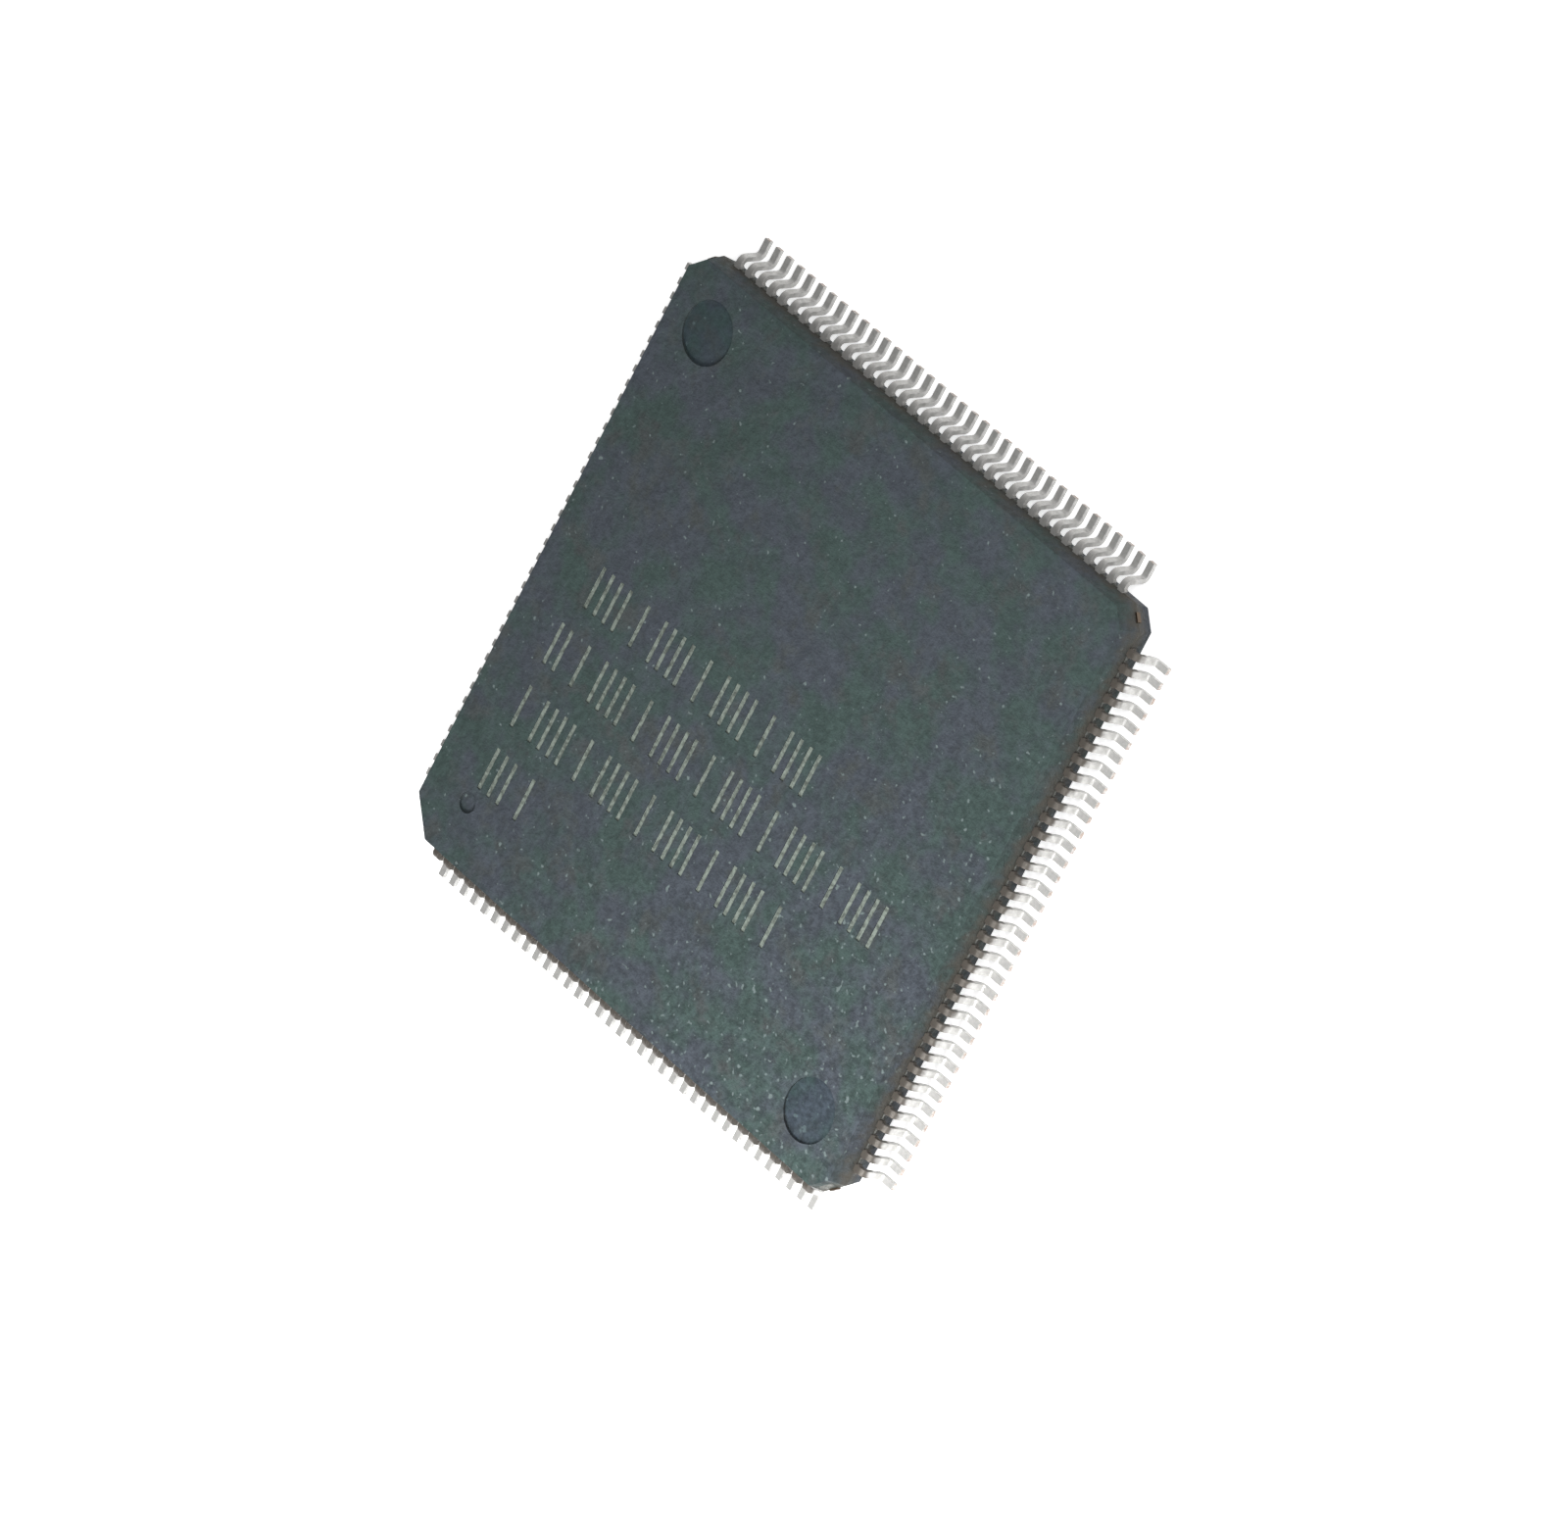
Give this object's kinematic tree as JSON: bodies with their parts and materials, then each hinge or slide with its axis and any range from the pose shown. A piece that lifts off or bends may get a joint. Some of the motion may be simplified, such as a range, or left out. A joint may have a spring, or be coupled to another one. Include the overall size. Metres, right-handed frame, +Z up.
{
  "type": "quad flat pack chip",
  "caption": "Thin square moulded chip package with fine gull-wing leads along all four sides, a dimple at its first corner and round moulded marks.",
  "frame": {"origin": "centre of the package, on the plane that the feet stand on", "axes": "+Z up out of the marked face, +X along the rows of marking, +Y towards the first row; the first lead's corner is at -X -Y"},
  "size_m": [0.022, 0.022, 0.0015],
  "materials": {
    "mould_compound": "fine speckled matt epoxy with shallow laser marks",
    "tinned_lead": "matt tin plating over copper alloy",
    "copper_frame": "bare copper alloy",
    "silicon": "polished silicon",
    "silver_glue": "silver-filled epoxy",
    "brown_tape": "polyimide film",
    "gold_wire": "bright gold"
  },
  "bodies": {
    "root": {"body": "mould_compound", "die_paddle": "copper_frame", "die_glue": "silver_glue", "die": "silicon", "lead_tape": "brown_tape", "leads_west_01": "tinned_lead", "leads_west_02": "tinned_lead", "leads_west_03": "tinned_lead", "leads_west_04": "tinned_lead", "leads_west_05": "tinned_lead", "leads_west_06": "tinned_lead", "leads_west_07": "tinned_lead", "leads_west_08": "tinned_lead", "leads_west_09": "tinned_lead", "leads_west_10": "tinned_lead", "leads_west_11": "tinned_lead", "leads_west_12": "tinned_lead", "leads_south_01": "tinned_lead", "leads_south_02": "tinned_lead", "leads_south_03": "tinned_lead", "leads_south_04": "tinned_lead", "leads_south_05": "tinned_lead", "leads_south_06": "tinned_lead", "leads_south_07": "tinned_lead", "leads_south_08": "tinned_lead", "leads_south_09": "tinned_lead", "leads_south_10": "tinned_lead", "leads_south_11": "tinned_lead", "leads_south_12": "tinned_lead", "leads_east_01": "tinned_lead", "leads_east_02": "tinned_lead", "leads_east_03": "tinned_lead", "leads_east_04": "tinned_lead", "leads_east_05": "tinned_lead", "leads_east_06": "tinned_lead", "leads_east_07": "tinned_lead", "leads_east_08": "tinned_lead", "leads_east_09": "tinned_lead", "leads_east_10": "tinned_lead", "leads_east_11": "tinned_lead", "leads_east_12": "tinned_lead", "leads_north_01": "tinned_lead", "leads_north_02": "tinned_lead", "leads_north_03": "tinned_lead", "leads_north_04": "tinned_lead", "leads_north_05": "tinned_lead", "leads_north_06": "tinned_lead", "leads_north_07": "tinned_lead", "leads_north_08": "tinned_lead", "leads_north_09": "tinned_lead", "leads_north_10": "tinned_lead", "leads_north_11": "tinned_lead", "leads_north_12": "tinned_lead", "bond_wires_west": "gold_wire", "bond_wires_south": "gold_wire", "bond_wires_east": "gold_wire", "bond_wires_north": "gold_wire"}
  },
  "joints": []
}
